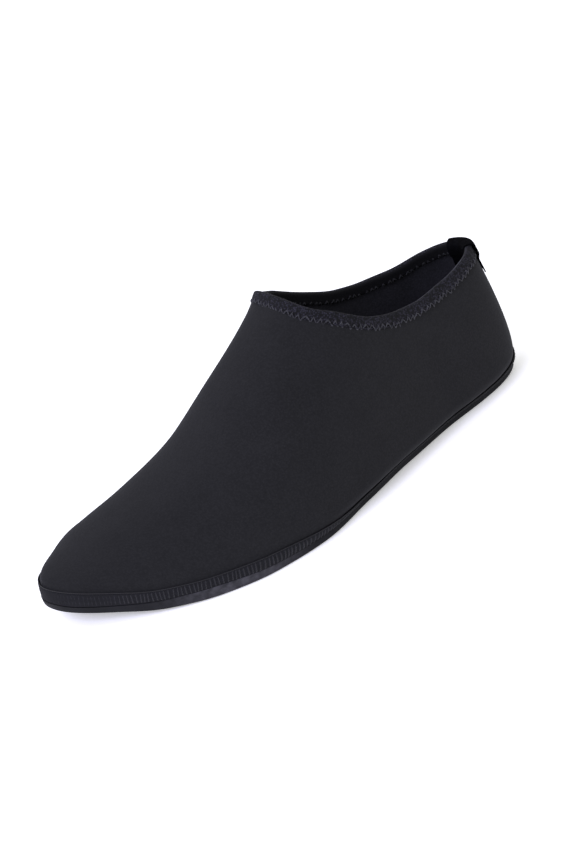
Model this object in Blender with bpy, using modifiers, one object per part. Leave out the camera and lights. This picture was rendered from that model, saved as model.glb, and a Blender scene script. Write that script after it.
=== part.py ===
"""Slip-on water shoe for the left foot: a hollow neoprene upper on a thin rubber sole.

The toe points along +X, the outer side of the foot is +Y and +Z is up.
The sole rests on z = 0 with its heel and its forefoot. All sizes are in metres.
"""

import math

import bmesh
import bpy
import numpy as np
from mathutils import Matrix

# Main sizes of the shoe
LENGTH = 0.250
BALL_WIDTH = 0.0865
CROWN_HEIGHT = 0.111
COLLAR_HEIGHT = 0.0641
THROAT_SHARE = 0.4349

# Thickness of each layer, and the clearance left between neighbours
WALL = 0.0022
SOLE_THICK = 0.0030
INSOLE_THICK = 0.0022
GAP = 0.0003

# How far the sole leaves the ground at the heel, under the arch and at the toe
HEEL_LIFT = 0.0014
ARCH_LIFT = 0.0007
TOE_LIFT = 0.0096

# The stitched band that joins the upper to the sole
BAND_WIDTH = 0.0062
BAND_THICK = 0.0009
BAND_SEARCH = 0.8
BAND_TRIES = 40

# The folded tape over the collar edge
BINDING_DROP = 0.0044
BINDING_THICK = 0.0008

# The folded tab over the centre of the heel
TAB_WIDTH = 0.0180
TAB_THICK = 0.0006
TAB_DROP_OUTSIDE = 0.0140
TAB_DROP_INSIDE = 0.0120
TAB_REACH = 0.25
TAB_TRIES = 120

# How far the insole stays inside the lower edge of the upper
INSOLE_INSET = 0.0034

# Cross-sections of the outer skin from heel to toe. share is of LENGTH. The widths, the tuck
# under the foot and the sideways places are shares of BALL_WIDTH. bulge is a share of
# COLLAR_HEIGHT and crown a share of CROWN_HEIGHT.
SECTIONS = np.array(
    [
        # share, outer, inner, tuck outer, tuck inner, bulge, crown, ridge, axis
        [0.00, 0.000, 0.000, 0.000, 0.000, 0.186, 0.782, 0.000, 0.000],
        [0.04, 0.214, 0.225, 0.088, 0.080, 0.186, 0.782, 0.000, 0.000],
        [0.12, 0.312, 0.323, 0.129, 0.118, 0.186, 0.782, 0.000, 0.000],
        [0.22, 0.371, 0.350, 0.142, 0.130, 0.186, 0.969, 0.006, 0.000],
        [0.34, 0.467, 0.347, 0.151, 0.139, 0.186, 1.005, 0.012, 0.012],
        [0.46, 0.551, 0.359, 0.127, 0.127, 0.186, 0.780, 0.023, 0.029],
        [0.58, 0.595, 0.388, 0.064, 0.081, 0.170, 0.604, 0.046, 0.046],
        [0.68, 0.563, 0.455, 0.032, 0.040, 0.155, 0.445, 0.069, 0.052],
        [0.78, 0.493, 0.486, 0.017, 0.021, 0.139, 0.340, 0.081, 0.017],
        [0.88, 0.379, 0.441, 0.014, 0.014, 0.124, 0.255, 0.069, -0.058],
        [0.95, 0.263, 0.290, 0.012, 0.012, 0.108, 0.161, 0.046, -0.121],
        [1.00, 0.000, 0.000, 0.000, 0.000, 0.101, 0.089, 0.023, -0.155],
    ]
)
OUTER, INNER, TUCK_OUTER, TUCK_INNER, BULGE, CROWN, RIDGE, AXIS = range(1, 9)

# Height of the sole's underside along the shoe, from flat heel to flat forefoot to toe
BASE = np.array(
    [
        # share, height
        [0.00, HEEL_LIFT],
        [0.10, 0.0],
        [0.24, 0.0],
        [0.40, ARCH_LIFT],
        [0.57, 0.0],
        [0.76, 0.0],
        [0.86, 0.13 * TOE_LIFT],
        [0.93, 0.55 * TOE_LIFT],
        [1.00, TOE_LIFT],
    ]
)

# Rise of the collar edge on each side, from the heel to the throat: share is of THROAT_SHARE,
# and the rises are shares of the step from COLLAR_HEIGHT up to the crown at the throat
COLLAR = np.array(
    [
        # share, outer, inner
        [0.00, 0.000, 0.000],
        [0.14, -0.018, -0.019],
        [0.28, -0.048, -0.070],
        [0.43, -0.054, -0.059],
        [0.57, 0.025, 0.043],
        [0.71, 0.206, 0.278],
        [0.86, 0.581, 0.609],
        [1.00, 1.000, 1.000],
    ]
)
COLLAR_END = 1.12

# Lean of the heel and of the toe by height: how far forward the heel's back line sits, and how
# far back the toe's front line sits, as shares of COLLAR_HEIGHT
HEEL_LINE = np.array(
    [
        # height, place
        [0.00, 0.080],
        [0.09, 0.031],
        [0.31, 0.000],
        [1.00, 0.071],
        [2.00, 0.300],
    ]
)
TOE_LINE = np.array(
    [
        # height, place
        [0.00, -0.040],
        [0.15, 0.000],
        [0.93, 0.090],
    ]
)
HEEL_REACH = 4
TOE_REACH = 20

# Fullness of the section above the bulge, and where its underside arc starts
FULLNESS = 0.86
ARC_START = math.radians(20)

# Small steps used to find the directions of the skin, and the distance at which points join
SMALL_TURN = 0.002
SMALL_LENGTH = 0.0002
JOIN_DISTANCE = 1e-6

# Number of stations along the heel part, the toe part and the heel tab, and points in a
# section line
HEEL_STATIONS = 25
TOE_STATIONS = 29
TAB_STATIONS = 6
ARC_POINTS = 16
DOME_POINTS = 90

# Rows of the upper between its lower edge and its top, as shares of the section's length
UPPER_ROWS = (
    *(0.0, 0.03, 0.065, 0.105, 0.155, 0.22, 0.30, 0.39),
    *(0.48, 0.57, 0.66, 0.75, 0.83, 0.90, 0.955, 1.0),
)

# Section of the seam band: share up the band, and share of its thickness out from the skin
BAND_SECTION = (
    # share, offset
    (0.00, 0.00),
    (0.33, 0.00),
    (0.67, 0.00),
    (1.00, 0.00),
    (1.00, 0.45),
    (0.88, 1.00),
    (0.45, 1.00),
    (0.00, 1.00),
)

# Edges of the sole and the insole: how far each level is drawn in and how high it is, both as
# shares of the sheet's thickness
SOLE_EDGE = (
    # inset, height
    (0.53, 0.00),
    (0.17, 0.12),
    (0.00, 0.38),
    (0.00, 0.85),
    (0.13, 1.00),
)
INSOLE_EDGE = (
    # inset, height
    (0.09, 0.00),
    (0.00, 0.15),
    (0.00, 0.85),
    (0.09, 1.00),
)

MATERIALS = {
    "upper": ("knit_faced_neoprene", (0.022, 0.022, 0.025), 0.85),
    "sole": ("moulded_rubber", (0.030, 0.030, 0.034), 0.60),
    "insole": ("foam_insole", (0.018, 0.018, 0.020), 0.95),
    "collar_binding": ("knit_tape", (0.020, 0.020, 0.027), 0.80),
    "seam_band": ("flatlock_thread", (0.026, 0.026, 0.030), 0.80),
    "heel_tab": ("woven_tape", (0.010, 0.010, 0.012), 0.55),
}


def read(table, column, at):
    """Monotone cubic curve through one column of a table, read at any places."""
    places = table[:, 0]
    values = table[:, column]
    step = np.diff(places)
    slope = np.diff(values) / step
    bend = np.zeros(len(places))
    bend[0] = slope[0]
    bend[-1] = slope[-1]
    for i in range(1, len(step)):
        if slope[i - 1] * slope[i] > 0:
            before = 2 * step[i] + step[i - 1]
            after = step[i] + 2 * step[i - 1]
            bend[i] = (before + after) / (before / slope[i - 1] + after / slope[i])
    at = np.clip(at, places[0], places[-1])
    i = np.clip(np.searchsorted(places, at, side="right") - 1, 0, len(step) - 1)
    t = (at - places[i]) / step[i]
    start = (1 + 2 * t) * (1 - t) ** 2 * values[i] + t * (1 - t) ** 2 * step[i] * bend[i]
    end = t * t * (3 - 2 * t) * values[i + 1] + t * t * (t - 1) * step[i] * bend[i + 1]
    return start + end


def turn_of(share):
    """A share of the length as a turn: even turns lie close together at heel and toe."""
    return np.arccos(1 - 2 * np.clip(share, 0, 1)) / math.pi


def share_of(turn):
    return (1 - np.cos(math.pi * np.asarray(turn))) / 2


TURNED_SECTIONS = SECTIONS.copy()
TURNED_SECTIONS[:, 0] = turn_of(SECTIONS[:, 0])
RIM_HEIGHT = SOLE_THICK + GAP
THROAT_HEIGHT = CROWN_HEIGHT * float(read(TURNED_SECTIONS, CROWN, turn_of(THROAT_SHARE)))


def collar_height(turn, side):
    """Height of the collar edge. Past the throat it is above the crown."""
    step = THROAT_HEIGHT - COLLAR_HEIGHT
    column = OUTER if side > 0 else INNER
    rows = [(row[0] * THROAT_SHARE, COLLAR_HEIGHT + row[column] * step) for row in COLLAR]
    rows += [(COLLAR_END * THROAT_SHARE, 2 * CROWN_HEIGHT), (1.0, 4 * CROWN_HEIGHT)]
    return read(np.array(rows), 1, share_of(turn))


def base_height(turn):
    return read(BASE, 1, share_of(turn))


def section_lines(turn, side):
    """Lines of the outer skin from its lower edge to the ridge, one row for each station.

    side is 1 for the outer side of the foot and -1 for the inner side. Returns the points, the
    length along each line and the height above the sole's underside.
    """
    share = share_of(turn)[:, None]
    column = [read(TURNED_SECTIONS, i, turn)[:, None] for i in range(1, 9)]
    wide = column[(OUTER if side > 0 else INNER) - 1] * BALL_WIDTH
    tuck = column[(TUCK_OUTER if side > 0 else TUCK_INNER) - 1] * BALL_WIDTH
    bulge = column[BULGE - 1] * COLLAR_HEIGHT
    crown = column[CROWN - 1] * CROWN_HEIGHT
    arc = np.linspace(ARC_START, math.pi / 2, ARC_POINTS)[None]
    dome = np.linspace(0, math.pi / 2, DOME_POINTS + 1)[None, 1:]
    low, top = math.sin(ARC_START), math.cos(ARC_START)
    arc_y = wide - tuck * (1 - (np.sin(arc) - low) / (1 - low))
    arc_z = RIM_HEIGHT + (bulge - RIM_HEIGHT) * (1 - np.cos(arc) / top)
    dome_y = wide * np.clip(np.cos(dome), 0, 1) ** FULLNESS
    dome_z = bulge + (crown - bulge) * np.sin(dome) ** FULLNESS
    y = np.concatenate([arc_y, dome_y], 1)
    z = np.concatenate([arc_z, dome_z], 1)
    climb = (z - RIM_HEIGHT) / (crown - RIM_HEIGHT)
    level = z / COLLAR_HEIGHT
    heel = read(HEEL_LINE, 1, level) * COLLAR_HEIGHT * (1 - share) ** HEEL_REACH
    toe = read(TOE_LINE, 1, level) * COLLAR_HEIGHT * share**TOE_REACH
    x = share * LENGTH + heel - toe
    y = side * y + (column[AXIS - 1] - column[RIDGE - 1] * climb) * BALL_WIDTH
    points = np.stack([x, y, z + base_height(turn)[:, None]], -1)
    steps = np.linalg.norm(np.diff(points, axis=1), axis=-1)
    lengths = np.concatenate([np.zeros((len(steps), 1)), np.cumsum(steps, 1)], 1)
    return points, lengths, z


def on_skin(turn, side, up):
    """Points of the outer skin at the lengths up from its lower edge."""
    points, lengths, _ = section_lines(turn, side)
    up = np.broadcast_to(up, turn.shape)
    rows = zip(points, lengths, up)
    return np.array([[np.interp(u, s, p[:, k]) for k in range(3)] for p, s, u in rows])


def rim_length(turn, side):
    """Length of each section line up to the collar edge, or to the ridge past the throat."""
    _, lengths, heights = section_lines(turn, side)
    rows = zip(collar_height(turn, side), heights, lengths)
    return np.array([np.interp(c, h, s) for c, h, s in rows])


def unit(vectors):
    return vectors / np.linalg.norm(vectors, axis=-1, keepdims=True)


def outward(turn, side, up):
    """Outward directions of the skin at points given as for on_skin."""
    ahead = on_skin(np.minimum(turn + SMALL_TURN, 1), side, up)
    behind = on_skin(np.maximum(turn - SMALL_TURN, 0), side, up)
    above = on_skin(turn, side, up + SMALL_LENGTH)
    below = on_skin(turn, side, up - SMALL_LENGTH)
    return unit(np.cross(above - below, ahead - behind)) * side


def around(turn, find):
    """A closed loop: the outer side from heel to toe, then the inner side back to the heel."""
    return np.concatenate([find(turn, 1), find(turn, -1)[1:-1][::-1]])


def stations():
    """Turns of the stations, close together at the heel, at the throat and at the toe."""
    heel = THROAT_SHARE * share_of(np.linspace(0, 1, HEEL_STATIONS))
    toe = THROAT_SHARE + (1 - THROAT_SHARE) * share_of(np.linspace(0, 1, TOE_STATIONS))
    return turn_of(np.concatenate([heel, toe[1:]]))


def add_part(name, vertices, faces):
    """A mesh object with its material, its doubled points joined and its faces outward."""
    mesh = bpy.data.meshes.new(name)
    mesh.from_pydata([tuple(map(float, v)) for v in vertices], [], faces)
    work = bmesh.new()
    work.from_mesh(mesh)
    bmesh.ops.remove_doubles(work, verts=work.verts, dist=JOIN_DISTANCE)
    bmesh.ops.dissolve_degenerate(work, edges=work.edges, dist=JOIN_DISTANCE)
    bmesh.ops.recalc_face_normals(work, faces=work.faces)
    work.to_mesh(mesh)
    work.free()
    label, colour, roughness = MATERIALS[name]
    material = bpy.data.materials.new(label)
    material.use_nodes = True
    shader = material.node_tree.nodes["Principled BSDF"]
    shader.inputs["Base Color"].default_value = (*colour, 1)
    shader.inputs["Roughness"].default_value = roughness
    mesh.materials.append(material)
    part = bpy.data.objects.new(name, mesh)
    bpy.data.collections["water_shoe"].objects.link(part)
    return part


def loft(sections, ring_closed, row_closed):
    """Quads between neighbouring sections, as indices into the stacked sections."""
    count, size = len(sections), len(sections[0])
    faces = []
    for i in range(count if row_closed else count - 1):
        here, there = i * size, (i + 1) % count * size
        for j in range(size if ring_closed else size - 1):
            k = (j + 1) % size
            faces.append((here + j, here + k, there + k, there + j))
    return faces


def build_upper():
    """Hollow wall: the outer skin, then the wall's thickness towards the inside."""
    turn = stations()
    vertices, faces = [], []
    for side in (1, -1):
        top = rim_length(turn, side)
        rows = np.stack([on_skin(turn, side, top * share) for share in UPPER_ROWS], 1)
        quads = loft(rows, False, False)
        start = len(vertices)
        vertices += list(rows.reshape(-1, 3))
        for quad in quads:
            quad = tuple(start + index for index in quad)
            faces.append(quad[::-1] if side > 0 else quad)
    part = add_part("upper", vertices, faces)
    mesh = part.data
    middle = sum((v.co for v in mesh.vertices), mesh.vertices[0].co * 0) / len(mesh.vertices)
    facing = sum((f.center - middle).dot(f.normal) * f.area for f in mesh.polygons)
    if facing < 0:
        mesh.flip_normals()
    wall = part.modifiers.new("wall", "SOLIDIFY")
    wall.thickness = WALL
    wall.offset = -1
    wall.use_even_offset = True
    wall.use_rim = True
    return part


def band_start(turn, side, offset):
    """Length up the skin where a surface at this offset clears the sole's top."""
    tries = np.linspace(SMALL_LENGTH, BAND_SEARCH * BAND_WIDTH, BAND_TRIES)
    floor = base_height(turn) + RIM_HEIGHT
    heights = []
    for up in tries:
        point = on_skin(turn, side, up) + offset * outward(turn, side, up)
        heights.append(point[:, 2] - floor)
    heights = np.maximum.accumulate(np.array(heights), axis=0)
    return np.array([np.interp(0.0, h, tries) for h in heights.T])


def band_loop(turn, share, offset):
    def find(turns, side):
        start = band_start(turns, side, offset)
        up = start + (BAND_WIDTH - start) * share
        return on_skin(turns, side, up) + offset * outward(turns, side, up)

    return around(turn, find)


def build_seam_band():
    turn = stations()
    loops = [band_loop(turn, share, GAP + BAND_THICK * out) for share, out in BAND_SECTION]
    faces = loft(loops, True, True)
    return add_part("seam_band", np.concatenate(loops), faces)


def plan_inset(loop, inset):
    """The loop drawn in towards the middle of the shoe, in plan."""
    along = np.roll(loop, -1, 0) - np.roll(loop, 1, 0)
    inward = np.stack([along[:, 1], -along[:, 0], np.zeros(len(loop))], 1)
    return loop + inset * unit(inward)


def plate(outline, edge, floor, thick):
    """A closed plate on an outline: levels of its edge, then strips across its two faces."""
    levels = []
    for inset, share in edge:
        level = plan_inset(outline, inset * thick)
        level[:, 2] = floor + thick * share
        levels.append(level)
    faces = loft(levels, True, False)
    count = len(outline)
    last = (len(levels) - 1) * count
    half = count // 2
    for start in (0, last):
        for i in range(half):
            ring = (i, i + 1, count - i - 1, (count - i) % count)
            corners = list(dict.fromkeys(start + index for index in ring))
            faces.append(tuple(corners))
    return np.concatenate(levels), faces


def base_loop(turn):
    return around(turn, lambda turns, side: np.repeat(base_height(turns)[:, None], 3, 1))[:, 2]


def build_sole():
    """Sheet sole: its edge ends flush with the outside of the seam band."""
    turn = stations()
    outline = band_loop(turn, 0.0, GAP + BAND_THICK)
    vertices, faces = plate(outline, SOLE_EDGE, base_loop(turn), SOLE_THICK)
    return add_part("sole", vertices, faces)


def build_insole():
    """Foam sheet inside the lower edge of the upper."""
    turn = stations()
    outline = around(turn, lambda turns, side: on_skin(turns, side, 0.0))
    outline = plan_inset(outline, INSOLE_INSET)
    vertices, faces = plate(outline, INSOLE_EDGE, base_loop(turn) + RIM_HEIGHT, INSOLE_THICK)
    return add_part("insole", vertices, faces)


def rim_turns():
    return turn_of(THROAT_SHARE * share_of(np.linspace(0, 1, HEEL_STATIONS)))


def build_collar_binding():
    """Tape folded over the collar edge: a U section swept around the rim."""
    turn = rim_turns()
    rim = around(turn, lambda turns, side: on_skin(turns, side, rim_length(turns, side)))
    out = around(turn, lambda turns, side: outward(turns, side, rim_length(turns, side) - GAP))
    along = unit(np.roll(rim, -1, 0) - np.roll(rim, 1, 0))
    out = unit(out - along * np.sum(out * along, 1, keepdims=True))
    up = np.cross(along, out)
    near = 1.5 * GAP
    far = near + BINDING_THICK
    top = 2 * GAP
    crest = top + BINDING_THICK
    back_near = -WALL - 1.5 * GAP
    back_far = back_near - BINDING_THICK
    foot = -0.93 * BINDING_DROP
    # Offset from the skin and height above the rim for each corner of the section
    profile = (
        (near + 0.1 * BINDING_THICK, -BINDING_DROP),
        (0.8 * far, -BINDING_DROP - 0.1 * BINDING_THICK),
        (far, foot),
        (far, 0.1 * far),
        (0.6 * far, 0.8 * crest),
        (-0.5 * WALL, crest),
        (back_far + 0.4 * far, 0.8 * crest),
        (back_far, 0.1 * far),
        (back_far, 0.95 * foot),
        (back_near - 0.8 * BINDING_THICK, foot),
        (back_near - 0.5 * BINDING_THICK, foot),
        (back_near, top),
        (near, top),
    )
    sections = [rim + out * across + up * rise for across, rise in profile]
    faces = loft(sections, True, True)
    return add_part("collar_binding", np.concatenate(sections), faces)


def build_heel_tab():
    """Tape folded over the binding at the centre of the heel."""
    fine = turn_of(np.linspace(0, TAB_REACH, TAB_TRIES) ** 2)
    rim = on_skin(fine, 1, rim_length(fine, 1))
    run = np.concatenate([[0], np.cumsum(np.linalg.norm(np.diff(rim, axis=0), axis=1))])
    half = np.interp(np.linspace(0, TAB_WIDTH / 2, TAB_STATIONS), run, fine)
    cover = 2.5 * GAP + BINDING_THICK
    crest = 3 * GAP + BINDING_THICK
    over = cover + TAB_THICK
    top = crest + TAB_THICK
    lower = GAP + TAB_THICK
    # How far below the binding the tab reaches the skin again
    step = 0.4 * TAB_THICK
    fall = 3 * TAB_THICK
    # Offset from the skin and depth below the rim for each corner of the section
    profile = (
        (GAP, TAB_DROP_OUTSIDE),
        (GAP, BINDING_DROP + fall),
        (cover, BINDING_DROP + step),
        (cover, 0.0),
        (0.6 * cover, -crest),
        (-WALL - 0.6 * cover, -crest),
        (-WALL - cover, 0.0),
        (-WALL - cover, BINDING_DROP + step),
        (-WALL - GAP, BINDING_DROP + fall),
        (-WALL - GAP, TAB_DROP_INSIDE),
        (-WALL - lower, TAB_DROP_INSIDE),
        (-WALL - lower, BINDING_DROP + fall + step),
        (-WALL - over, BINDING_DROP + 2 * step),
        (-WALL - over, 0.0),
        (-WALL - 0.7 * over, -top),
        (0.7 * over, -top),
        (over, 0.0),
        (over, BINDING_DROP + 2 * step),
        (lower, BINDING_DROP + fall + step),
        (lower, TAB_DROP_OUTSIDE),
    )

    def find(turns, side):
        rim_at = rim_length(turns, side)
        lines = []
        for offset, depth in profile:
            up = rim_at - depth
            lines.append(on_skin(turns, side, up) + offset * outward(turns, side, up))
        return np.stack(lines, 1)

    sections = np.concatenate([find(half, 1)[::-1], find(half, -1)[1:]])
    faces = loft(sections, True, False)
    size = len(profile)
    faces.append(tuple(range(size)))
    faces.append(tuple((len(sections) - 1) * size + i for i in range(size)))
    return add_part("heel_tab", sections.reshape(-1, 3), faces)


def set_down(parts):
    """Move the shoe until the middle of its length and width is over the origin."""
    corners = np.array([v.co for part in parts for v in part.data.vertices])
    middle = (corners.min(0) + corners.max(0)) / 2
    for part in parts:
        part.data.transform(Matrix.Translation((-middle[0], -middle[1], 0)))


def main():
    for item in list(bpy.data.objects):
        bpy.data.objects.remove(item)
    group = bpy.data.collections.new("water_shoe")
    bpy.context.scene.collection.children.link(group)
    build_upper()
    build_sole()
    build_insole()
    build_collar_binding()
    build_seam_band()
    build_heel_tab()
    set_down(list(group.objects))


main()
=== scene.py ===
"""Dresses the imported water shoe: jersey, tape, threads, rubber, floor, lights and camera."""
import math

import bmesh
import bpy
import numpy as np
from bpy.props import FloatProperty, IntProperty, PointerProperty, StringProperty
from mathutils import Matrix, Vector


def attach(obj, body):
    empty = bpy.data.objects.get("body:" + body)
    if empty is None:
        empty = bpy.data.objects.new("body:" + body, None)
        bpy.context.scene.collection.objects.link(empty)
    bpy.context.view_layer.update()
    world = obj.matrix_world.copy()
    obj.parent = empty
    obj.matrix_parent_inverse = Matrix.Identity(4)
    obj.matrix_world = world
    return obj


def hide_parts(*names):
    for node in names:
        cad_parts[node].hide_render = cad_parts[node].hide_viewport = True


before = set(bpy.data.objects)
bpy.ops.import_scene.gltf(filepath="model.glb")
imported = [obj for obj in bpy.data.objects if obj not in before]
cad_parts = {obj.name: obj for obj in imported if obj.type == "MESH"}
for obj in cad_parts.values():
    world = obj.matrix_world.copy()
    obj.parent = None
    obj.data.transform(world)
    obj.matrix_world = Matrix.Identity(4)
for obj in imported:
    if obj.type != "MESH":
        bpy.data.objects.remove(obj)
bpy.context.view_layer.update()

bl_info = {
    "name": "Water Shoe",
    "version": (1, 0, 0),
    "blender": (4, 5, 0),
    "location": "View3D > Sidebar > Water Shoe",
    "description": "Slip-on water shoe of jersey-faced neoprene with a thin rubber sole",
    "category": "Add Mesh",
}

MM = 0.001

# Main sizes of the shoe and the clearances between its layers
LENGTH = 0.250
BALL_WIDTH = 0.0865
CROWN_HEIGHT = 0.111
COLLAR_HEIGHT = 0.0641
THROAT_SHARE = 0.4349
WALL = 0.0022
SOLE_THICK = 0.0030
INSOLE_THICK = 0.0022
GAP = 0.0003
HEEL_LIFT = 0.0014
ARCH_LIFT = 0.0007
TOE_LIFT = 0.0096
BAND_WIDTH = 0.0062
BAND_THICK = 0.0009
PRESS = 0.0004
PRESS_REACH = 0.0025
BINDING_DROP = 0.0044
BINDING_THICK = 0.0008
TAB_WIDTH = 0.0180
TAB_THICK = 0.0006
TAB_DROP_OUTSIDE = 0.0140
TAB_DROP_INSIDE = 0.0120
INSOLE_INSET = 0.0034

# From the middle of the heel's back line to the middle of the shoe's length and width
MIDDLE = np.array([0.12636, 0.00502, 0.0])

# Cross-sections of the outer skin from heel to toe, as in the part's solids
SECTIONS = np.array(
    [
        # share, outer, inner, tuck outer, tuck inner, bulge, crown, ridge, axis
        [0.00, 0.000, 0.000, 0.000, 0.000, 0.186, 0.782, 0.000, 0.000],
        [0.04, 0.214, 0.225, 0.088, 0.080, 0.186, 0.782, 0.000, 0.000],
        [0.12, 0.312, 0.323, 0.129, 0.118, 0.186, 0.782, 0.000, 0.000],
        [0.22, 0.371, 0.350, 0.142, 0.130, 0.186, 0.969, 0.006, 0.000],
        [0.34, 0.467, 0.347, 0.151, 0.139, 0.186, 1.005, 0.012, 0.012],
        [0.46, 0.551, 0.359, 0.127, 0.127, 0.186, 0.780, 0.023, 0.029],
        [0.58, 0.595, 0.388, 0.064, 0.081, 0.170, 0.604, 0.046, 0.046],
        [0.68, 0.563, 0.455, 0.032, 0.040, 0.155, 0.445, 0.069, 0.052],
        [0.78, 0.493, 0.486, 0.017, 0.021, 0.139, 0.340, 0.081, 0.017],
        [0.88, 0.379, 0.441, 0.014, 0.014, 0.124, 0.255, 0.069, -0.058],
        [0.95, 0.263, 0.290, 0.012, 0.012, 0.108, 0.161, 0.046, -0.121],
        [1.00, 0.000, 0.000, 0.000, 0.000, 0.101, 0.089, 0.023, -0.155],
    ]
)
OUTER, INNER, TUCK_OUTER, TUCK_INNER, BULGE, CROWN, RIDGE, AXIS = range(1, 9)
BASE = np.array(
    [
        # share, height
        [0.00, HEEL_LIFT],
        [0.10, 0.0],
        [0.24, 0.0],
        [0.40, ARCH_LIFT],
        [0.57, 0.0],
        [0.76, 0.0],
        [0.86, 0.13 * TOE_LIFT],
        [0.93, 0.55 * TOE_LIFT],
        [1.00, TOE_LIFT],
    ]
)
COLLAR = np.array(
    [
        # share, outer, inner
        [0.00, 0.000, 0.000],
        [0.14, -0.018, -0.019],
        [0.28, -0.048, -0.070],
        [0.43, -0.054, -0.059],
        [0.57, 0.025, 0.043],
        [0.71, 0.206, 0.278],
        [0.86, 0.581, 0.609],
        [1.00, 1.000, 1.000],
    ]
)
COLLAR_END = 1.12
HEEL_LINE = np.array([[0.00, 0.080], [0.09, 0.031], [0.31, 0.000], [1.00, 0.071], [2.00, 0.300]])
TOE_LINE = np.array([[0.00, -0.040], [0.15, 0.000], [0.93, 0.090]])
HEEL_REACH = 4
TOE_REACH = 20
FULLNESS = 0.86
ARC_START = math.radians(20)
ARC_POINTS = 24
DOME_POINTS = 150

# Camera of the photograph: its angles to the shoe, its distance from the aim, and its lens
CAMERA_TURN = math.radians(22.151)
CAMERA_RISE = math.radians(24.367)
CAMERA_ROLL = math.radians(21.580)
CAMERA_DISTANCE = 0.8415
CAMERA_AIM = np.array([0.125, 0.0, 0.030]) - MIDDLE
CAMERA_SCALE = 2.2233
FRAME_WIDTH, FRAME_HEIGHT = 576, 864
AIM_PIXEL = (281.84, 432.65)
SENSOR = 36.0


def linear(colour):
    """An sRGB hex value as linear red, green and blue."""
    parts = [int(colour[i : i + 2], 16) / 255 for i in (1, 3, 5)]
    return tuple(c / 12.92 if c <= 0.04045 else ((c + 0.055) / 1.055) ** 2.4 for c in parts)


# Shape of the foot


def read(table, column, at):
    """Monotone cubic curve through one column of a table, read at any places."""
    places = table[:, 0]
    values = table[:, column]
    step = np.diff(places)
    slope = np.diff(values) / step
    bend = np.zeros(len(places))
    bend[0] = slope[0]
    bend[-1] = slope[-1]
    for i in range(1, len(step)):
        if slope[i - 1] * slope[i] > 0:
            before = 2 * step[i] + step[i - 1]
            after = step[i] + 2 * step[i - 1]
            bend[i] = (before + after) / (before / slope[i - 1] + after / slope[i])
    at = np.clip(at, places[0], places[-1])
    i = np.clip(np.searchsorted(places, at, side="right") - 1, 0, len(step) - 1)
    t = (at - places[i]) / step[i]
    start = (1 + 2 * t) * (1 - t) ** 2 * values[i] + t * (1 - t) ** 2 * step[i] * bend[i]
    end = t * t * (3 - 2 * t) * values[i + 1] + t * t * (t - 1) * step[i] * bend[i + 1]
    return start + end


def turn_of(share):
    """Turn from 0 to 1 round half a circle for shares of the length, which keeps both ends fine."""
    return np.arccos(1 - 2 * np.clip(share, 0, 1)) / math.pi


def share_of(turn):
    """Shares of the length for such turns."""
    return (1 - np.cos(math.pi * np.asarray(turn))) / 2


TURNED_SECTIONS = SECTIONS.copy()
TURNED_SECTIONS[:, 0] = turn_of(SECTIONS[:, 0])
RIM_HEIGHT = SOLE_THICK + GAP
THROAT_HEIGHT = CROWN_HEIGHT * float(read(TURNED_SECTIONS, CROWN, turn_of(THROAT_SHARE)))


def collar_height(turn, side):
    """Height of the collar's line over the underside."""
    step = THROAT_HEIGHT - COLLAR_HEIGHT
    column = OUTER if side > 0 else INNER
    rows = [(row[0] * THROAT_SHARE, COLLAR_HEIGHT + row[column] * step) for row in COLLAR]
    rows += [(COLLAR_END * THROAT_SHARE, 2 * CROWN_HEIGHT), (1.0, 4 * CROWN_HEIGHT)]
    return read(np.array(rows), 1, share_of(turn))


def base_height(turn):
    return read(BASE, 1, share_of(turn))


def section_lines(turn, side):
    """Lines of the outer skin from its lower edge to the ridge, one row for each station."""
    share = share_of(turn)[:, None]
    column = {i: read(TURNED_SECTIONS, i, turn)[:, None] for i in range(OUTER, AXIS + 1)}
    wide = column[OUTER if side > 0 else INNER] * BALL_WIDTH
    tuck = column[TUCK_OUTER if side > 0 else TUCK_INNER] * BALL_WIDTH
    bulge = column[BULGE] * COLLAR_HEIGHT
    crown = column[CROWN] * CROWN_HEIGHT
    arc = np.linspace(ARC_START, math.pi / 2, ARC_POINTS)[None]
    dome = np.linspace(0, math.pi / 2, DOME_POINTS + 1)[None, 1:]
    low, top = math.sin(ARC_START), math.cos(ARC_START)
    arc_y = wide - tuck * (1 - (np.sin(arc) - low) / (1 - low))
    arc_z = RIM_HEIGHT + (bulge - RIM_HEIGHT) * (1 - np.cos(arc) / top)
    dome_y = wide * np.clip(np.cos(dome), 0, 1) ** FULLNESS
    dome_z = bulge + (crown - bulge) * np.sin(dome) ** FULLNESS
    y = np.concatenate([arc_y, dome_y], 1)
    z = np.concatenate([arc_z, dome_z], 1)
    climb = (z - RIM_HEIGHT) / (crown - RIM_HEIGHT)
    level = z / COLLAR_HEIGHT
    heel = read(HEEL_LINE, 1, level) * COLLAR_HEIGHT * (1 - share) ** HEEL_REACH
    toe = read(TOE_LINE, 1, level) * COLLAR_HEIGHT * share**TOE_REACH
    x = share * LENGTH + heel - toe
    y = side * y + (column[AXIS] - column[RIDGE] * climb) * BALL_WIDTH
    points = np.stack([x, y, z + base_height(turn)[:, None]], -1)
    steps = np.linalg.norm(np.diff(points, axis=1), axis=-1)
    lengths = np.concatenate([np.zeros((len(steps), 1)), np.cumsum(steps, 1)], 1)
    return points, lengths, z


def read_line(points, run, at):
    """Points of a line at lengths along it."""
    return np.stack([np.interp(at, run, points[:, k]) for k in range(3)], -1)


def on_skin(turn, side, up):
    """Points of the skin at lengths up from its lower edge: up has a row for each turn."""
    points, lengths, _ = section_lines(turn, side)
    up = np.asarray(up, float)
    flat = up.ndim < 2
    up = np.broadcast_to(up[:, None] if up.ndim == 1 else up, (len(turn), 1) if flat else up.shape)
    out = np.array([read_line(p, s, u) for p, s, u in zip(points, lengths, up)])
    return out[:, 0] if flat else out


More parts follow.
